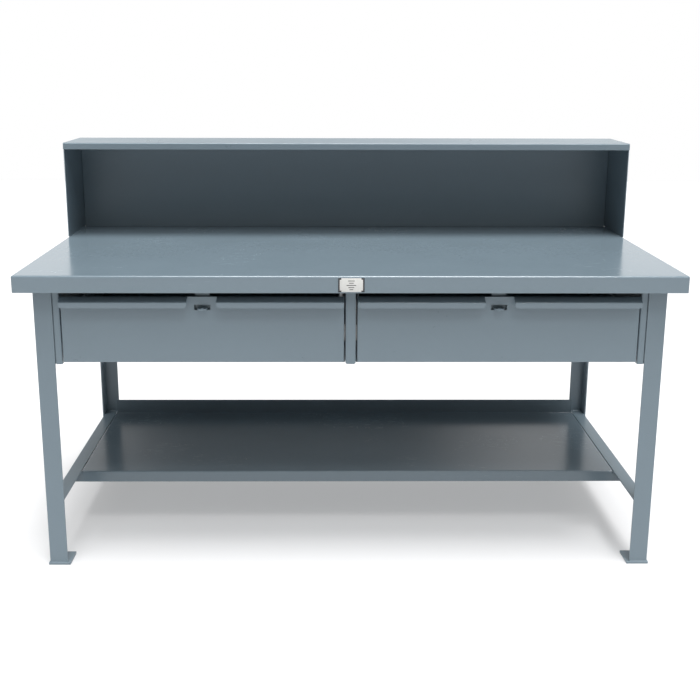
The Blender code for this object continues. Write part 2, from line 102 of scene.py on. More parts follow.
class PaintSettings(PropertyGroup):
    """The enamel on the steel."""

    enamel: FloatVectorProperty(
        name="Enamel", description="Colour of the paint on flat steel",
        default=(0.158, 0.208, 0.243), size=3, subtype="COLOR", min=0.0, max=1.0)
    # Lighter edge colour: partly paint running thin, partly a painted highlight on the eased edges;
    # the scuffs use it too.
    film_and_highlight: FloatVectorProperty(
        name="Thin film", description="Colour where the paint runs thin over an edge",
        default=(0.26, 0.31, 0.34), size=3, subtype="COLOR", min=0.0, max=1.0)
    frame_gloss: FloatProperty(
        name="Frame roughness", description="Roughness of the legs, rails and riser",
        default=0.34, min=0.0, max=1.0, subtype="FACTOR")
    drawer_gloss: FloatProperty(
        name="Drawer roughness", description="Roughness of the drawers and the riser's cap",
        default=0.30, min=0.0, max=1.0, subtype="FACTOR")
    top_gloss: FloatProperty(
        name="Top roughness", description="Roughness of the worktop and the drawers' pulls",
        default=0.17, min=0.0, max=1.0, subtype="FACTOR")
    shelf_gloss: FloatProperty(
        name="Shelf roughness", description="Roughness of the lower shelf",
        default=0.20, min=0.0, max=1.0, subtype="FACTOR")
    tone_change: FloatProperty(
        name="Tone change", description="How far the colour drifts from place to place",
        default=0.07, min=0.0, max=0.5, subtype="FACTOR")
    peel_size: FloatProperty(
        name="Orange peel size", description="Distance between the paint's small bumps",
        default=0.0028, min=0.0005, max=0.02, unit="LENGTH")
    peel_depth: FloatProperty(
        name="Orange peel depth", description="Height of the paint's small bumps",
        default=0.000022, min=0.0, max=0.001, precision=6, unit="LENGTH")
    wave_size: FloatProperty(
        name="Sheet wave size", description="Distance between the slow waves of rolled sheet",
        default=0.28, min=0.02, max=2.0, unit="LENGTH")
    wave_depth: FloatProperty(
        name="Sheet wave depth", description="Height of the slow waves of rolled sheet",
        default=0.0007, min=0.0, max=0.01, precision=5, unit="LENGTH")


class EdgeSettings(PropertyGroup):
    """How far the steel's edges are eased."""

    sheet_easing: FloatProperty(
        name="Sheet easing", description="Rounding of the cut edges of thin sheet",
        default=0.00035, min=0.0001, max=0.001, precision=5, unit="LENGTH")
    plate_easing: FloatProperty(
        name="Plate easing", description="Rounding of the edges of rolled angle and plate",
        default=0.0008, min=0.0001, max=0.002, precision=5, unit="LENGTH")
    steps: IntProperty(
        name="Steps", description="Faces across each eased edge", default=2, min=1, max=6)
    sharpness: FloatProperty(
        name="Sharpness", description="Edges that fold more than this are eased",
        default=math.radians(32), min=0.0, max=math.pi, subtype="ANGLE", unit="ROTATION")


class WeldSettings(PropertyGroup):
    """Weld beads under the paint."""

    bead: FloatProperty(
        name="Bead radius", description="Radius of a weld bead at the legs and rails",
        default=0.0026, min=0.0005, max=0.01, precision=4, unit="LENGTH")
    light_bead: FloatProperty(
        name="Light bead radius", description="Radius of a weld bead on sheet",
        default=0.0018, min=0.0005, max=0.01, precision=4, unit="LENGTH")
    ripple: FloatProperty(
        name="Ripple pitch", description="Distance between the ripples of a bead",
        default=0.0024, min=0.001, max=0.01, precision=4, unit="LENGTH")
    ripple_depth: FloatProperty(
        name="Ripple depth", description="Depth of a ripple as a share of the radius",
        default=0.16, min=0.0, max=0.5, subtype="FACTOR")


class SlideSettings(PropertyGroup):
    """Balls, cages and rivets of the drawer slides."""

    sheet: FloatProperty(
        name="Slide sheet", description="Thickness of the slides' steel",
        default=0.0015, min=0.0005, max=0.003, precision=4, unit="LENGTH")
    ball_pitch: FloatProperty(
        name="Ball pitch", description="Distance between balls in a cage",
        default=0.0140, min=0.004, max=0.05, unit="LENGTH")
    cage_length: FloatProperty(
        name="Cage length", description="Length of a ball cage",
        default=0.300, min=0.05, max=0.5, unit="LENGTH")
    zinc: FloatVectorProperty(
        name="Zinc", description="Colour of the bright zinc plate",
        default=(0.60, 0.61, 0.60), size=3, subtype="COLOR", min=0.0, max=1.0)
    rivet_radius: FloatProperty(
        name="Rivet radius", description="Radius of a rivet head inside the drawers",
        default=0.0042, min=0.001, max=0.01, precision=4, unit="LENGTH")


class StageSettings(PropertyGroup):
    """Floor, light and camera."""

    floor_tone: FloatVectorProperty(
        name="Floor", description="Colour of the pale floor",
        default=(0.50, 0.50, 0.505), size=3, subtype="COLOR", min=0.0, max=1.0)
    floor_glow: FloatProperty(
        name="Floor glow", description="Light that the floor gives off, as a light table does",
        default=0.30, min=0.0)
    floor_size: FloatProperty(
        name="Floor size", description="Width of the floor", default=20.0, min=4.0, unit="LENGTH")
    horizon: FloatProperty(
        name="Horizon strength", description="Brightness of the white surround near the floor",
        default=1.0, min=0.0)
    front: FloatProperty(
        name="Front strength", description="Brightness of the surround in front, near the floor",
        default=0.28, min=0.0)
    ceiling: FloatProperty(
        name="Ceiling strength", description="Brightness of the surround overhead",
        default=0.12, min=0.0)
    over_strength: FloatProperty(
        name="Overhead strength", description="Strength of the soft light straight above",
        default=4.0, min=0.0)
    over_angle: FloatProperty(
        name="Overhead softness", description="Width of the overhead light in the sky",
        default=math.radians(30), subtype="ANGLE", unit="ROTATION")
    over_from: FloatVectorProperty(
        name="Overhead direction", description="Where the overhead light comes from",
        default=(0.06, -0.12, 1.0), size=3, subtype="DIRECTION")
    key_strength: FloatProperty(
        name="Key strength", description="Strength of the light in front",
        default=0.80, min=0.0)
    key_angle: FloatProperty(
        name="Key softness", description="Width of the front light in the sky",
        default=math.radians(16), subtype="ANGLE", unit="ROTATION")
    key_from: FloatVectorProperty(
        name="Key direction", description="Where the front light comes from",
        default=(0.22, -1.0, 1.60), size=3, subtype="DIRECTION")
    fill_strength: FloatProperty(
        name="Fill strength", description="Strength of the broad light around the front light",
        default=1.10, min=0.0)
    fill_angle: FloatProperty(
        name="Fill softness", description="Width of the broad light in the sky",
        default=math.radians(75), subtype="ANGLE", unit="ROTATION")
    lens: FloatProperty(
        name="Lens", description="Focal length in millimetres", default=54.737, min=10.0)
    camera_place: FloatVectorProperty(
        name="Camera place", description="Where the camera stands",
        default=(-0.0699, -3.2646, 1.4150), size=3, subtype="TRANSLATION", unit="LENGTH")
    pan: FloatProperty(
        name="Pan", description="Turn of the camera to the right",
        default=0.0100, subtype="ANGLE", unit="ROTATION")
    tilt: FloatProperty(
        name="Tilt", description="How far the camera looks down",
        default=0.2451, subtype="ANGLE", unit="ROTATION")
    roll: FloatProperty(
        name="Roll", description="Roll of the camera",
        default=0.0026, subtype="ANGLE", unit="ROTATION")
    shift_x: FloatProperty(
        name="Shift across", description="Sideways shift of the picture", default=0.0204)
    shift_y: FloatProperty(
        name="Shift up", description="Upward shift of the picture", default=-0.0277)


# ---------------------------------------------------------------- finishes

class Value:
    """One socket of a node tree, on which arithmetic adds Math nodes."""

    def __init__(self, tree, socket):
        self.tree = tree
        self.socket = socket

    def math(self, operation, first, second):
        return self.tree.node("ShaderNodeMath", {"operation": operation}, {0: first, 1: second})

    def __add__(self, other):
        return self.math("ADD", self, other)

    def __radd__(self, other):
        return self.math("ADD", other, self)

    def __sub__(self, other):
        return self.math("SUBTRACT", self, other)

    def __rsub__(self, other):
        return self.math("SUBTRACT", other, self)

    def __mul__(self, other):
        return self.math("MULTIPLY", self, other)

    def __rmul__(self, other):
        return self.math("MULTIPLY", other, self)

    def rising(self, low, high):
        """A mask that goes smoothly from 0 at low to 1 at high."""
        settings = {"interpolation_type": "SMOOTHSTEP"}
        return self.tree.node("ShaderNodeMapRange", settings, {0: self, 1: low, 2: high})


class Tree:
    """A node tree, with one way to add any node to it."""

    def __init__(self, tree):
        self.tree = tree

    def node(self, kind, settings=None, inputs=None, out=0):
        """Add a node, set it up, then fill its inputs; gives back its output socket."""
        node = self.tree.nodes.new(kind)
        for name, value in (settings or {}).items():
            setattr(node, name, value)
        for name, value in (inputs or {}).items():
            self.feed(node.inputs[name], value)
        return Value(self, node.outputs[out])

    def feed(self, socket, value):
        """Link a value to a socket, or set the socket to a plain number or colour."""
        if isinstance(value, Value):
            self.tree.links.new(value.socket, socket)
        else:
            socket.default_value = value


class Finish(Tree):
    """One material and its surface shader."""

    def __init__(self, name):
        self.material = bpy.data.materials.new(name)
        self.material.use_nodes = True
        super().__init__(self.material.node_tree)
        self.surface = self.tree.nodes["Principled BSDF"]
        self.place = self.node("ShaderNodeTexCoord", out="Object")

    def set(self, name, value):
        """Feed one socket of the surface shader."""
        self.feed(self.surface.inputs[name], value)

    def noise(self, spacing, detail=2.0, roughness=0.5, place=None):
        """Cloudy noise from 0 to 1 whose lumps lie about one spacing apart."""
        inputs = {"Vector": place or self.place, "Scale": 1 / spacing, "Detail": detail,
                  "Roughness": roughness}
        return self.node("ShaderNodeTexNoise", None, inputs)

    def stretched(self, scale):
        """Object coordinates scaled differently along each axis."""
        return self.node("ShaderNodeMapping", None, {"Vector": self.place, "Scale": scale})

    def attribute(self, name):
        """A number stored on the mesh."""
        return self.node("ShaderNodeAttribute", {"attribute_name": name}, out="Fac")

    def mix(self, mask, below, above):
        """One colour over another."""
        inputs = {0: mask, 6: below, 7: above}
        return self.node("ShaderNodeMix", {"data_type": "RGBA"}, inputs, out=2)

    def bump(self, height, depth, under=None):
        """A bumped normal, laid over an earlier one if there is one."""
        inputs = {"Height": height, "Distance": depth, "Strength": 1.0}
        if under:
            inputs["Normal"] = under
        return self.node("ShaderNodeBump", None, inputs, out="Normal")


def shade(colour, factor):
    """A colour made lighter or darker, with its alpha."""
    return tuple(min(1.0, part * factor) for part in colour) + (1.0,)


def make_enamel(name, roughness, scuffs=0.0, wave=1.0, tone=1.0):
    """Sprayed machine enamel: orange peel, slow sheet waves, light scuffs, and eased edges
    lightened partly as thin paint and partly as a painted highlight.
    """
    paint = bpy.context.scene.bench_paint
    finish = Finish(name)
    cloud = finish.noise(0.22, detail=3.0)
    mottle = finish.noise(0.018, detail=4.0, roughness=0.6)
    peel = finish.noise(paint.peel_size, detail=1.5, roughness=0.4)
    sheet = finish.noise(paint.wave_size, detail=1.0)
    # Lighter patches on the eased edges: partly thin paint, partly a painted highlight.
    film_and_highlight = finish.attribute(EDGE_FILM_AND_HIGHLIGHT) * finish.noise(0.012, detail=3.0).rising(0.40, 0.70)

    # A tone below 1 darkens this whole enamel as painted shade; the shelf uses it.
    dark = shade(paint.enamel, tone * (1 - paint.tone_change))
    light = shade(paint.enamel, tone * (1 + paint.tone_change))
    colour = finish.mix(cloud * 0.65 + mottle * 0.35, dark, light)
    colour = finish.mix(film_and_highlight * 0.55, colour, (*paint.film_and_highlight, 1.0))
    rough = roughness + (mottle - 0.5) * 0.10 + (cloud - 0.5) * 0.08 + film_and_highlight * 0.10
    if scuffs:
        along = finish.noise(0.0016, detail=1.0, place=finish.stretched((0.035, 1.0, 1.0)))
        across = finish.noise(0.0016, detail=1.0, place=finish.stretched((1.0, 0.035, 1.0)))
        worn = cloud.rising(0.45, 0.75) * scuffs
        marks = along.rising(0.66, 0.74) * worn + across.rising(0.70, 0.78) * worn
        rough = rough + marks * 0.25
        colour = finish.mix(marks * 0.25, colour, (*paint.film_and_highlight, 1.0))
    waves = finish.bump(sheet, paint.wave_depth * wave)
    finish.set("Base Color", colour)
    finish.set("Roughness", rough)
    finish.set("Normal", finish.bump(peel, paint.peel_depth, waves))
    finish.set("IOR", 1.5)
    return finish.material


def make_weld_enamel(name):
    """Enamel over weld metal: lumpier, with glossy paint pooled between the ripples."""
    paint = bpy.context.scene.bench_paint
    finish = Finish(name)
    lumps = finish.noise(0.0016, detail=3.0, roughness=0.6)
    colour = finish.mix(lumps, shade(paint.enamel, 0.88), shade(paint.enamel, 1.18))
    finish.set("Base Color", colour)
    finish.set("Roughness", 0.10 + lumps * 0.20)
    finish.set("Normal", finish.bump(lumps, 0.0002))
    finish.set("IOR", 1.5)
    return finish.material


def make_zinc(name):
    """Bright zinc plate on rolled slide steel, with draw lines along its length."""
    slides = bpy.context.scene.bench_slides
    finish = Finish(name)
    lines = finish.noise(0.0006, detail=2.0, place=finish.stretched((1.0, 0.01, 1.0)))
    cloud = finish.noise(0.03, detail=3.0)
    grease = cloud.rising(0.50, 0.68)
    dull, bright = shade(slides.zinc, 0.80), shade(slides.zinc, 1.10)
    colour = finish.mix(lines * 0.5 + cloud * 0.5, dull, bright)
    colour = finish.mix(grease * 0.35, colour, (0.32, 0.30, 0.24, 1.0))
    finish.set("Base Color", colour)
    finish.set("Metallic", 1.0)
    finish.set("Roughness", 0.30 + lines * 0.14 - grease * 0.10)
    finish.set("Normal", finish.bump(lines, 0.00002))
    return finish.material


def make_ball_steel(name):
    """Polished bearing steel under a film of grease."""
    finish = Finish(name)
    cloud = finish.noise(0.004, detail=2.0)
    finish.set("Base Color", finish.mix(cloud, (0.45, 0.44, 0.42, 1.0), (0.70, 0.70, 0.69, 1.0)))
    finish.set("Metallic", 1.0)
    finish.set("Roughness", 0.12 + cloud * 0.12)
    return finish.material


def make_plate_white(name):
    """White enamel on the small plate."""
    finish = Finish(name)
    cloud = finish.noise(0.006, detail=3.0)
    speck = finish.noise(0.0009, detail=2.0)
    colour = finish.mix(cloud, (0.58, 0.58, 0.56, 1.0), (0.66, 0.66, 0.64, 1.0))
    finish.set("Base Color", colour)
    finish.set("Roughness", 0.30 + cloud * 0.12)
    finish.set("Normal", finish.bump(speck, 0.00001))
    return finish.material


def make_plate_black(name):
    """Black printing on the small plate."""
    finish = Finish(name)
    cloud = finish.noise(0.003, detail=3.0)
    colour = finish.mix(cloud, (0.012, 0.012, 0.014, 1.0), (0.03, 0.03, 0.034, 1.0))
    finish.set("Base Color", colour)
    finish.set("Roughness", 0.38 + cloud * 0.14)
    finish.set("Normal", finish.bump(cloud, 0.00001))
    return finish.material


FINISHES = {
    "frame": lambda name: make_enamel(name, bpy.context.scene.bench_paint.frame_gloss),
    "drawer": lambda name: make_enamel(name, bpy.context.scene.bench_paint.drawer_gloss, wave=0.6),
    "top": lambda name: make_enamel(name, bpy.context.scene.bench_paint.top_gloss, scuffs=0.6),
    # The shelf's enamel is painted a fifth darker, as painted shade under the worktop; it is the
    # same paint as the rest.
    "shelf": lambda name: make_enamel(name, bpy.context.scene.bench_paint.shelf_gloss, scuffs=0.8,
                                      tone=0.8),
    "weld": make_weld_enamel,
    "zinc": make_zinc,
    "ball": make_ball_steel,
    "white": make_plate_white,
    "black": make_plate_black,
}


def finish_named(kind):
    """The finish of that kind, made the first time it is asked for."""
    name = f"bench_{kind}"
    return bpy.data.materials.get(name) or FINISHES[kind](name)


# ---------------------------------------------------------------- shapes

def place_mesh(name, bm, kind, body, smooth=35.0):
    """Turn a bmesh into a finished piece that rides on a body."""
    mesh = bpy.data.meshes.new(name)
    bm.to_mesh(mesh)
    bm.free()
    mesh.shade_smooth()
    mesh.set_sharp_from_angle(angle=math.radians(smooth))
    mesh.materials.append(finish_named(kind))
    piece = bpy.data.objects.new(name, mesh)
    bpy.context.scene.collection.objects.link(piece)
    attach(piece, body)
    return piece


def hold_flats(piece):
    """Shade the flat faces flat and leave the turn to the bends and eased edges."""
    weighted = piece.modifiers.new("flat_faces", "WEIGHTED_NORMAL")
    weighted.mode = "FACE_AREA"
    weighted.keep_sharp = True


def solid_of(node):
    """A CAD part's solid as a bmesh, its triangles merged into whole flat faces."""
    mesh = frame["nodes"][node].data
    bm = bmesh.new()
    bm.from_mesh(mesh)
    bmesh.ops.remove_doubles(bm, verts=bm.verts, dist=MERGE)
    bmesh.ops.dissolve_limit(bm, angle_limit=math.radians(0.6), verts=bm.verts, edges=bm.edges)
    return bm


def ease_edges(bm, width, steps, sharpness):
    """Round the outward edges and mark the new faces for a lighter colour, partly thin paint and
    partly a painted highlight.
    """
    film_and_highlight = bm.loops.layers.float.new(EDGE_FILM_AND_HIGHLIGHT)
    edges = [edge for edge in bm.edges
             if edge.is_convex and edge.calc_face_angle(0.0) > sharpness]
    eased = bmesh.ops.bevel(bm, geom=edges, offset=width, segments=steps, profile=0.5,
                            affect="EDGES", material=-1, clamp_overlap=True)
    for face in eased["faces"]:
        for corner in face.loops:
            corner[film_and_highlight] = 1.0


def show_steel(node, kind="frame", plate=False):
    """Show a CAD part by a copy with eased edges and its own finish."""
    edges = bpy.context.scene.bench_edges
    bm = solid_of(node)
    width = edges.plate_easing if plate else edges.sheet_easing
    ease_edges(bm, width, edges.steps, edges.sharpness)
    piece = place_mesh(f"{node}_steel", bm, kind, frame["nodes"][node]["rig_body"])
    hold_flats(piece)
    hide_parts(node)


def add_bead(bm, start, end, radius):
    """A rippled weld bead from start to end, tapered at both ends."""
    weld = bpy.context.scene.bench_welds
    start, end = Vector(start), Vector(end)
    run = end - start
    ripples = max(2, round(run.length / weld.ripple))
    step = run.length / (2 * ripples)
    size = BEAD_TIP
    ring = bmesh.ops.create_circle(bm, cap_ends=True, segments=BEAD_SIDES,
                                   radius=radius * size)["verts"]
    placed = list(ring)
    cap = ring[0].link_faces[0]
    for index in range(1, 2 * ripples + 1):
        last = index == 2 * ripples
        wanted = BEAD_TIP if last else 1 - weld.ripple_depth * (index % 2)
        grown = bmesh.ops.extrude_face_region(bm, geom=[cap])["geom"]
        if index > 1:
            bmesh.ops.delete(bm, geom=[cap], context="FACES_ONLY")
        ring = [item for item in grown if isinstance(item, bmesh.types.BMVert)]
        cap = next(item for item in grown if isinstance(item, bmesh.types.BMFace))
        bmesh.ops.translate(bm, vec=(0, 0, step), verts=ring)
        bmesh.ops.scale(bm, vec=(wanted / size, wanted / size, 1), verts=ring)
        size = wanted
        placed += ring
    turn = Vector((0, 0, 1)).rotation_difference(run).to_matrix().to_4x4()
    bmesh.ops.transform(bm, matrix=Matrix.Translation(start) @ turn, verts=placed)


def place_beads(name, beads):
    """One piece that holds a group of weld beads, each a start, an end and a radius."""
    bm = bmesh.new()
    for start, end, radius in beads:
        add_bead(bm, start, end, radius)
    bmesh.ops.recalc_face_normals(bm, faces=bm.faces)
    place_mesh(name, bm, "weld", "bench", smooth=60.0)


def add_block(bm, low, high, easing=0.0):
    """A block between two corners, its edges rounded where an easing is given."""
    low, high = Vector(low), Vector(high)
    block = bmesh.new()
    bmesh.ops.create_cube(block, size=1.0)
    bmesh.ops.scale(block, vec=high - low, verts=block.verts)
    bmesh.ops.translate(block, vec=(low + high) / 2, verts=block.verts)
    if easing:
        bmesh.ops.bevel(block, geom=block.edges[:], offset=easing, segments=2, profile=0.5,
                        affect="EDGES", material=-1)
    add_shape(bm, block)


def add_shape(bm, shape):
    """Move one bmesh into another and free it."""
    carrier = bpy.data.meshes.new("carrier")
    shape.to_mesh(carrier)
    shape.free()
    bm.from_mesh(carrier)
    bpy.data.meshes.remove(carrier)


def add_dome(bm, centre, axis, radius, height, segments=16):
    """A low domed rivet head: a spun profile that stands on a wall at centre."""
    head = bmesh.new()
    turns = [math.pi / 2 * step / RIVET_STEPS for step in range(RIVET_STEPS + 1)]
    points = [head.verts.new((radius * math.cos(turn), 0, height * math.sin(turn)))
              for turn in turns]
    foot = head.verts.new((0, 0, 0))
    lines = [head.edges.new(pair) for pair in zip([foot] + points, points)]
    bmesh.ops.spin(head, geom=points + [foot] + lines, cent=(0, 0, 0), axis=(0, 0, 1),
                   dvec=(0, 0, 0), angle=2 * math.pi, steps=segments, use_merge=True)
    bmesh.ops.remove_doubles(head, verts=head.verts, dist=MERGE)
    bmesh.ops.recalc_face_normals(head, faces=head.faces)
    turn = Vector((0, 0, 1)).rotation_difference(Vector(axis)).to_matrix().to_4x4()
    bmesh.ops.transform(head, matrix=Matrix.Translation(Vector(centre)) @ turn, verts=head.verts)
    add_shape(bm, head)


def edge_of(node, x_sign, y_sign):
    """The corner of a part's box that lies furthest to one side and one end, as x and y."""
    low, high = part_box(node)
    return (high.x if x_sign > 0 else low.x), (high.y if y_sign > 0 else low.y)


# ---------------------------------------------------------------- the steps

class BENCH_OT_stage(Operator):
    """Add the pale floor, the surround, the soft light and the camera"""

    bl_idname = "bench.stage"
    bl_label = "Stage"

    def execute(self, context):
        stage = context.scene.bench_stage
        self.add_floor(context, stage)
        self.add_surround(context, stage)
        self.add_light(context, "overhead", stage.over_strength, stage.over_angle, stage.over_from)
        self.add_light(context, "key", stage.key_strength, stage.key_angle, stage.key_from)
        self.add_light(context, "fill", stage.fill_strength, stage.fill_angle, stage.key_from)
        self.add_camera(context, stage)
        context.scene.view_settings.view_transform = "Standard"
        return {"FINISHED"}

    def add_floor(self, context, stage):
        bm = bmesh.new()
        bmesh.ops.create_grid(bm, x_segments=8, y_segments=8, size=stage.floor_size / 2)
        mesh = bpy.data.meshes.new("floor")
        bm.to_mesh(mesh)
        bm.free()
        finish = Finish("stage_floor")
        cloud = finish.noise(0.6, detail=4.0)
        tone = stage.floor_tone
        finish.set("Base Color", finish.mix(cloud, shade(tone, 0.99), shade(tone, 1.01)))
        finish.set("Roughness", 0.75 + cloud * 0.1)
        finish.set("Emission Color", (1.0, 1.0, 1.0, 1.0))
        finish.set("Emission Strength", stage.floor_glow)
        mesh.materials.append(finish.material)
        floor = bpy.data.objects.new("floor", mesh)
        context.scene.collection.objects.link(floor)

    def add_surround(self, context, stage):
        """A surround seen as plain white; its light dims overhead, sooner in front than behind."""
        world = bpy.data.worlds.new("surround")
        world.use_nodes = True
        tree = Tree(world.node_tree)
        way = tree.node("ShaderNodeTexCoord", out="Generated")
        behind = tree.node("ShaderNodeSeparateXYZ", None, {0: way}, out="Y").rising(-0.2, 0.5)
        aside = tree.node("ShaderNodeSeparateXYZ", None, {0: way}, out="X")
        flank = aside.rising(0.07, 0.20) * 0.75 + (0 - aside).rising(0.14, 0.25) * 0.9
        rise = tree.node("ShaderNodeSeparateXYZ", None, {0: way}, out="Z")
        dim = (rise - behind * 0.09).rising(0.07, 0.16)
        level = stage.ceiling + flank * behind * (1 - rise.rising(0.42, 0.60))
        background = world.node_tree.nodes["Background"]
        background.inputs["Color"].default_value = (1.0, 1.0, 1.0, 1.0)
        horizon = stage.front + behind * (stage.horizon - stage.front)
        seen = tree.node("ShaderNodeLightPath", out="Is Camera Ray")
        glow = horizon * (1 - dim) + level * dim
        tree.feed(background.inputs["Strength"], seen + (1 - seen) * glow)
        context.scene.world = world

    def add_light(self, context, name, strength, angle, direction):
        """A broad light far off in one direction."""
        light = bpy.data.lights.new(name, "SUN")
        light.energy = strength
        light.angle = angle
        lamp = bpy.data.objects.new(name, light)
        context.scene.collection.objects.link(lamp)
        lamp.rotation_euler = Vector(direction).to_track_quat("Z", "Y").to_euler()

    def add_camera(self, context, stage):
        lens = bpy.data.cameras.new("camera")
        lens.lens = stage.lens
        lens.shift_x = stage.shift_x
        lens.shift_y = stage.shift_y
        camera = bpy.data.objects.new("camera", lens)
        context.scene.collection.objects.link(camera)
        turn = (Matrix.Rotation(-stage.pan, 4, "Z")
                @ Matrix.Rotation(math.pi / 2 - stage.tilt, 4, "X")
                @ Matrix.Rotation(stage.roll, 4, "Z"))
        camera.matrix_world = Matrix.Translation(Vector(stage.camera_place)) @ turn
        context.scene.camera = camera


class BENCH_OT_worktop(Operator):
    """Show the folded worktop"""

    bl_idname = "bench.worktop"
    bl_label = "Worktop"

    def execute(self, context):
        show_steel("worktop", "top")
        return {"FINISHED"}


class BENCH_OT_riser(Operator):
    """Show the riser's cap, back and sides, seam-welded to the worktop"""

    bl_idname = "bench.riser"
    bl_label = "Riser"

    def execute(self, context):
        show_steel("riser_cap", "drawer")
        for part in ("back", "left_side", "right_side"):
            show_steel(f"riser_{part}")
        low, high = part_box("riser_back")
        radius = context.scene.bench_welds.light_bead
        seam_z = low.z - radius * 0.4
        seam_y = high.y - radius * 0.3
        beads = [((low.x, seam_y, seam_z), (high.x, seam_y, seam_z), radius)]
        for side, sign in SIDES:
            side_low, side_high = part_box(f"riser_{side}_side")
            front_y, rear_y = side_low.y + 0.004, side_high.y - 0.006
            x = edge_of(f"riser_{side}_side", sign, 1)[0] - sign * (radius * 1.05)
            beads.append(((x, front_y, seam_z), (x, rear_y, seam_z), radius))
        place_beads("riser_welds", beads)
        return {"FINISHED"}


class BENCH_OT_legs(Operator):
    """Show the four angle legs, welded all round to their foot plates"""

    bl_idname = "bench.legs"
    bl_label = "Legs and feet"

    def execute(self, context):
        radius = context.scene.bench_welds.bead
        beads = []
        for side, x_sign in SIDES:
            for end, y_sign in ENDS:
                leg, foot = f"{end}_{side}_leg", f"{end}_{side}_foot_plate"
                show_steel(leg, plate=True)
                show_steel(foot, plate=True)
                beads += self.foot_beads(leg, foot, x_sign, y_sign, radius)
        place_beads("foot_welds", beads)
        return {"FINISHED"}

    def foot_beads(self, leg, foot, x_sign, y_sign, radius):
        """Beads along the outer and inner faces of both flanges of one leg."""
        low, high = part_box(leg)
        flange = high.x - low.x
        x, y = edge_of(leg, x_sign, y_sign)
        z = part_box(foot)[1].z
        far_x, far_y = x - x_sign * flange, y - y_sign * flange
        in_x, in_y = x - x_sign * ANGLE_WALL, y - y_sign * ANGLE_WALL
        outer = radius * 0.75
        return [
            ((x, y, z), (far_x, y, z), outer),
            ((x, y, z), (x, far_y, z), outer),
            ((in_x, in_y, z), (far_x, in_y, z), radius),
            ((in_x, in_y, z), (in_x, far_y, z), radius),
        ]


class BENCH_OT_rails(Operator):
    """Show the rails that tie the legs together, with their end welds"""

    bl_idname = "bench.rails"
    bl_label = "Rails"

    def execute(self, context):
        for level in ("lower", "upper"):
            for side, _ in SIDES:
                show_steel(f"{level}_{side}_rail", plate=True)
        for end, _ in ENDS:
            show_steel(f"upper_{end}_rail", plate=True)
        radius = context.scene.bench_welds.bead
        beads = []
        for side, x_sign in SIDES:
            for end, y_sign in ENDS:
                beads += self.end_beads(f"lower_{side}_rail", f"{end}_{side}_leg",
                                        x_sign, y_sign, radius)
        place_beads("rail_welds", beads)
        return {"FINISHED"}

    def end_beads(self, rail, leg, x_sign, y_sign, radius):
        """Beads across, up and along one end of a lower rail, where it meets its leg."""
        low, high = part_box(rail)
        outer_x, end_y = edge_of(rail, x_sign, y_sign)
        inner_x = edge_of(rail, -x_sign, y_sign)[0]
        toe_y = edge_of(leg, x_sign, -y_sign)[1]
        end_y += y_sign * radius * 0.8
        across_z = high.z - 0.0005
        return [
            ((outer_x - x_sign * 0.004, end_y, across_z), (inner_x, end_y, across_z), radius * 1.5),
            ((outer_x, toe_y, low.z), (outer_x, toe_y, high.z), radius),
            ((outer_x, end_y, high.z), (outer_x, toe_y, high.z), radius),
        ]


class BENCH_OT_channels(Operator):
    """Show the channels under the worktop"""

    bl_idname = "bench.channels"
    bl_label = "Channels"

    def execute(self, context):
        radius = context.scene.bench_welds.light_bead
        beads = []
        for name in ("front", "middle", "rear"):
            node = f"{name}_top_channel"
            show_steel(node)
            low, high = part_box(node)
            for x in (-0.60, -0.20, 0.20, 0.60):
                start_x, end_x = x - CHANNEL_WELD / 2, x + CHANNEL_WELD / 2
                for y in (low.y, high.y):
                    beads.append(((start_x, y, high.z), (end_x, y, high.z), radius))
        place_beads("channel_welds", beads)
        return {"FINISHED"}


class BENCH_OT_shelf(Operator):
    """Show the lower shelf and the cleats that hold it to the side rails"""

    bl_idname = "bench.shelf"
    bl_label = "Lower shelf"

    def execute(self, context):
        show_steel("lower_shelf", "shelf")
        radius = context.scene.bench_welds.light_bead
        beads = []
        for side, x_sign in SIDES:
            for end, _ in ENDS:
                node = f"shelf_{end}_{side}_cleat"
                show_steel(node, plate=True)
                low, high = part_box(node)
                x = edge_of(node, -x_sign, 1)[0]
                for y in (low.y, high.y):
                    beads.append(((x, y, low.z + 0.004), (x, y, high.z - 0.006), radius))
            corner_x = x + x_sign * 0.0012
            front_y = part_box("lower_shelf")[0].y + radius * 0.6
            top_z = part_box(f"lower_{side}_rail")[1].z - 0.0008
            beads.append(((corner_x, front_y, top_z - 0.0100), (corner_x, front_y, top_z),
                          radius * 1.6))
        place_beads("cleat_welds", beads)
        return {"FINISHED"}


class BENCH_OT_drawer_bay(Operator):
    """Show the outer panels and the divider with its ledges, which the drawers run between"""

    bl_idname = "bench.drawer_bay"
    bl_label = "Drawer bay"

    def execute(self, context):
        show_steel("centre_divider")
        for side, _ in SIDES:
            for part in ("bay_panel", "bay_strip", "divider_ledge"):
                show_steel(f"{side}_{part}")
        return {"FINISHED"}


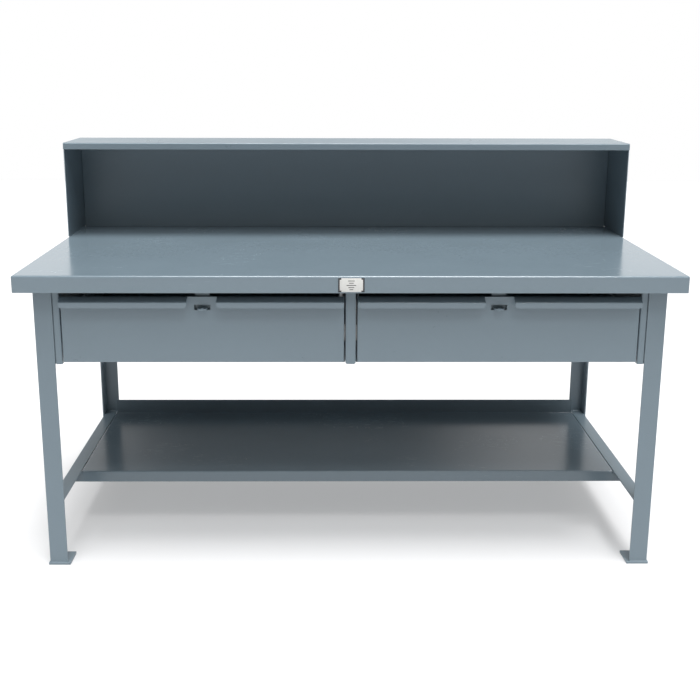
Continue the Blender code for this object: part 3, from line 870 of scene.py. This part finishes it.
class BENCH_OT_slides(Operator):
    """Show the telescopic slides, with their balls and cages"""

    bl_idname = "bench.slides"
    bl_label = "Drawer slides"

    def execute(self, context):
        slides = context.scene.bench_slides
        for side, _ in SIDES:
            for wall in WALLS:
                for member in ("channel", "carrier", "bar"):
                    show_steel(f"{side}_drawer_{wall}_slide_{member}", "zinc")
                self.add_balls(f"{side}_drawer_{wall}_slide", f"{side}_carriage", slides)
        return {"FINISHED"}

    def add_balls(self, slide, body, slides):
        """Two rows of balls outside the carrier and two inside it, each in a cage."""
        channel_low, channel_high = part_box(f"{slide}_channel")
        carrier_low, carrier_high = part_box(f"{slide}_carrier")
        bar_low, bar_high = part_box(f"{slide}_bar")
        bm = bmesh.new()
        middle_y = (carrier_low.y + carrier_high.y) / 2
        count = int(slides.cage_length / slides.ball_pitch)
        races = (
            (carrier_high.z, channel_high.z - slides.sheet, carrier_low, carrier_high),
            (bar_high.z, carrier_high.z - slides.sheet, bar_low, bar_high),
        )
        centre_z = (channel_low.z + channel_high.z) / 2
        for inside, outside, low, high in races:
            x = (low.x + high.x) / 2
            radius = (outside - inside) / 2 - BALL_PLAY
            for up in (-1, 1):
                z = centre_z + up * ((inside + outside) / 2 - centre_z)
                for index in range(count):
                    y = middle_y + (index - (count - 1) / 2) * slides.ball_pitch
                    ball = Matrix.Translation((x, y, z))
                    bmesh.ops.create_icosphere(bm, subdivisions=1, radius=radius, matrix=ball)
                half = slides.cage_length / 2 + 0.004
                add_block(bm, (x - CAGE_HALF_WIDTH, middle_y - half, z - CAGE_HALF_SHEET),
                          (x + CAGE_HALF_WIDTH, middle_y + half, z + CAGE_HALF_SHEET), 0.0001)
        place_mesh(f"{slide}_balls", bm, "ball", body, smooth=60.0)


class BENCH_OT_drawers(Operator):
    """Show the drawer fronts, pulls and trays, with hems and rivets"""

    bl_idname = "bench.drawers"
    bl_label = "Drawers"

    def execute(self, context):
        for side, _ in SIDES:
            body = f"{side}_drawer"
            for part in ("front", "tray"):
                show_steel(f"{side}_drawer_{part}", "drawer")
            for wall in WALLS:
                show_steel(f"{side}_drawer_{wall}_pull", "top")
            self.add_hem(side, body)
            self.add_rivets(side, body, context.scene.bench_slides)
        return {"FINISHED"}

    def add_hem(self, side, body):
        """The top edges of the tray's sides and back, folded inwards on themselves."""
        low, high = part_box(f"{side}_drawer_tray")
        bottom, top = high.z - HEM_DROP, high.z
        left, right = low.x + TRAY_SHEET, high.x - TRAY_SHEET
        front, back = low.y + 0.004, high.y - TRAY_SHEET
        bm = bmesh.new()
        for start, end in ((left, left + HEM_FOLD), (right - HEM_FOLD, right)):
            add_block(bm, (start, front, bottom), (end, back, top), 0.0005)
        add_block(bm, (left, back - HEM_FOLD, bottom), (right, back, top), 0.0005)
        place_mesh(f"{side}_drawer_hem", bm, "drawer", body)

    def add_rivets(self, side, body, slides):
        """Rivet heads inside the tray, where the slides' bars are fixed to its walls."""
        low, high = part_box(f"{side}_drawer_tray")
        slide_low, slide_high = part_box(f"{side}_drawer_inner_slide_bar")
        z = (slide_low.z + slide_high.z) / 2
        bm = bmesh.new()
        for share in (0.08, 0.36, 0.64, 0.92):
            y = low.y + share * (high.y - low.y)
            add_dome(bm, (low.x + TRAY_SHEET, y, z), (1, 0, 0), slides.rivet_radius, RIVET_RISE)
            add_dome(bm, (high.x - TRAY_SHEET, y, z), (-1, 0, 0), slides.rivet_radius, RIVET_RISE)
        place_mesh(f"{side}_drawer_rivets", bm, "zinc", body, smooth=60.0)


class BENCH_OT_lock_tabs(Operator):
    """Show the padlock tabs that reach through the slots in the drawer fronts"""

    bl_idname = "bench.lock_tabs"
    bl_label = "Padlock tabs"

    def execute(self, context):
        for side, _ in SIDES:
            show_steel(f"{side}_padlock_tab", plate=True)
        return {"FINISHED"}


class BENCH_OT_nameplate(Operator):
    """Add the blank plate on the apron, with brackets and plain rules"""

    bl_idname = "bench.nameplate"
    bl_label = "Nameplate"

    def execute(self, context):
        low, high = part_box("nameplate")
        face = low.y + 0.0002
        bm = bmesh.new()
        add_block(bm, (low.x, face, low.z), (high.x, high.y, high.z), 0.0002)
        plate = place_mesh("nameplate_steel", bm, "white", "bench")
        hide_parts("nameplate")
        marks = bmesh.new()
        self.add_brackets(marks, low, high, face)
        self.add_rules(marks, low, high, face)
        place_mesh("nameplate_marks", marks, "black", "bench")
        return {"FINISHED"}

    def add_brackets(self, bm, low, high, face):
        """A black bracket along each end."""
        bar, hook, sink = 0.0040, 0.0085, 0.0001
        for start, inward in ((low.x, 1), (high.x, -1)):
            across = sorted((start, start + inward * bar))
            add_block(bm, (across[0], low.y, low.z), (across[1], face + sink, high.z))
            along = sorted((start + inward * bar, start + inward * hook))
            for bottom, top in ((low.z, low.z + bar), (high.z - bar, high.z)):
                add_block(bm, (along[0], low.y, bottom), (along[1], face + sink, top))

    def add_rules(self, bm, low, high, face):
        """Plain short rules in place of lettering."""
        middle = (low.x + high.x) / 2
        rise, sink, half_height = 0.00008, 0.0001, 0.0009
        rules = ((0.80, 0.018), (0.64, 0.012), (0.48, 0.026), (0.32, 0.016), (0.17, 0.010))
        for share, width in rules:
            z = low.z + share * (high.z - low.z)
            add_block(bm, (middle - width / 2, face - rise, z - half_height),
                      (middle + width / 2, face + sink, z + half_height))


# ---------------------------------------------------------------- sidebar

SETTINGS = {
    "bench_paint": PaintSettings,
    "bench_edges": EdgeSettings,
    "bench_welds": WeldSettings,
    "bench_slides": SlideSettings,
    "bench_stage": StageSettings,
}
STEPS = (
    BENCH_OT_stage,
    BENCH_OT_worktop,
    BENCH_OT_riser,
    BENCH_OT_legs,
    BENCH_OT_rails,
    BENCH_OT_channels,
    BENCH_OT_shelf,
    BENCH_OT_drawer_bay,
    BENCH_OT_slides,
    BENCH_OT_drawers,
    BENCH_OT_lock_tabs,
    BENCH_OT_nameplate,
)


class BENCH_PT_sidebar(Panel):
    """Lists the settings and the steps in the order in which they run"""

    bl_idname = "BENCH_PT_sidebar"
    bl_label = "Steel Workbench"
    bl_space_type = "VIEW_3D"
    bl_region_type = "UI"
    bl_category = "Workbench"

    def draw(self, context):
        layout = self.layout
        for name in SETTINGS:
            group = getattr(context.scene, name)
            box = layout.box()
            for key in group.bl_rna.properties.keys():
                if key not in ("rna_type", "name"):
                    box.prop(group, key)
        for step in STEPS:
            layout.operator(step.bl_idname)


def register():
    """Add the settings, the steps and the sidebar panel."""
    for name, group in SETTINGS.items():
        bpy.utils.register_class(group)
        setattr(bpy.types.Scene, name, PointerProperty(type=group))
    for step in STEPS:
        bpy.utils.register_class(step)
    bpy.utils.register_class(BENCH_PT_sidebar)


def unregister():
    """Take away everything that register added."""
    bpy.utils.unregister_class(BENCH_PT_sidebar)
    for step in reversed(STEPS):
        bpy.utils.unregister_class(step)
    for name, group in reversed(SETTINGS.items()):
        delattr(bpy.types.Scene, name)
        bpy.utils.unregister_class(group)


def main():
    """Build the whole bench."""
    register()
    bpy.ops.bench.stage()
    bpy.ops.bench.worktop()
    bpy.ops.bench.riser()
    bpy.ops.bench.legs()
    bpy.ops.bench.rails()
    bpy.ops.bench.channels()
    bpy.ops.bench.shelf()
    bpy.ops.bench.drawer_bay()
    bpy.ops.bench.slides()
    bpy.ops.bench.drawers()
    bpy.ops.bench.lock_tabs()
    bpy.ops.bench.nameplate()


if __name__ == "__main__":
    main()
